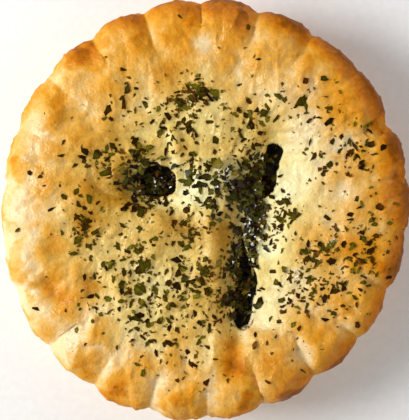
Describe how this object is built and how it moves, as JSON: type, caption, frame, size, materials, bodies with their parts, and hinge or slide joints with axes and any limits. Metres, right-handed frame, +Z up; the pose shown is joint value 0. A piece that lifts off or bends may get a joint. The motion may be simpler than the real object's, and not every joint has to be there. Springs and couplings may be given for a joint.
{
  "type": "chicken pie",
  "caption": "Round individual chicken pie from a fluted tin: a lobed, rolled pastry rim, a slit lid strewn with dried herbs, and a dark herb filling that shows in the slits.",
  "frame": {"origin": "middle of the flat base that the pie rests on", "axes": "+Z up through the lid; seen from above, +X runs towards the long slit and +Y away from the slit's lower end"},
  "size_m": [0.1086, 0.1116, 0.0293],
  "materials": {
    "pastry": "egg-washed shortcrust pastry, golden with a browned rim and a soft gloss, strewn with dried green herbs",
    "filling": "wet, dark green-brown filling of herbs and chicken in gravy"
  },
  "bodies": {
    "root": {"crust": "pastry", "filling": "filling"}
  },
  "joints": []
}
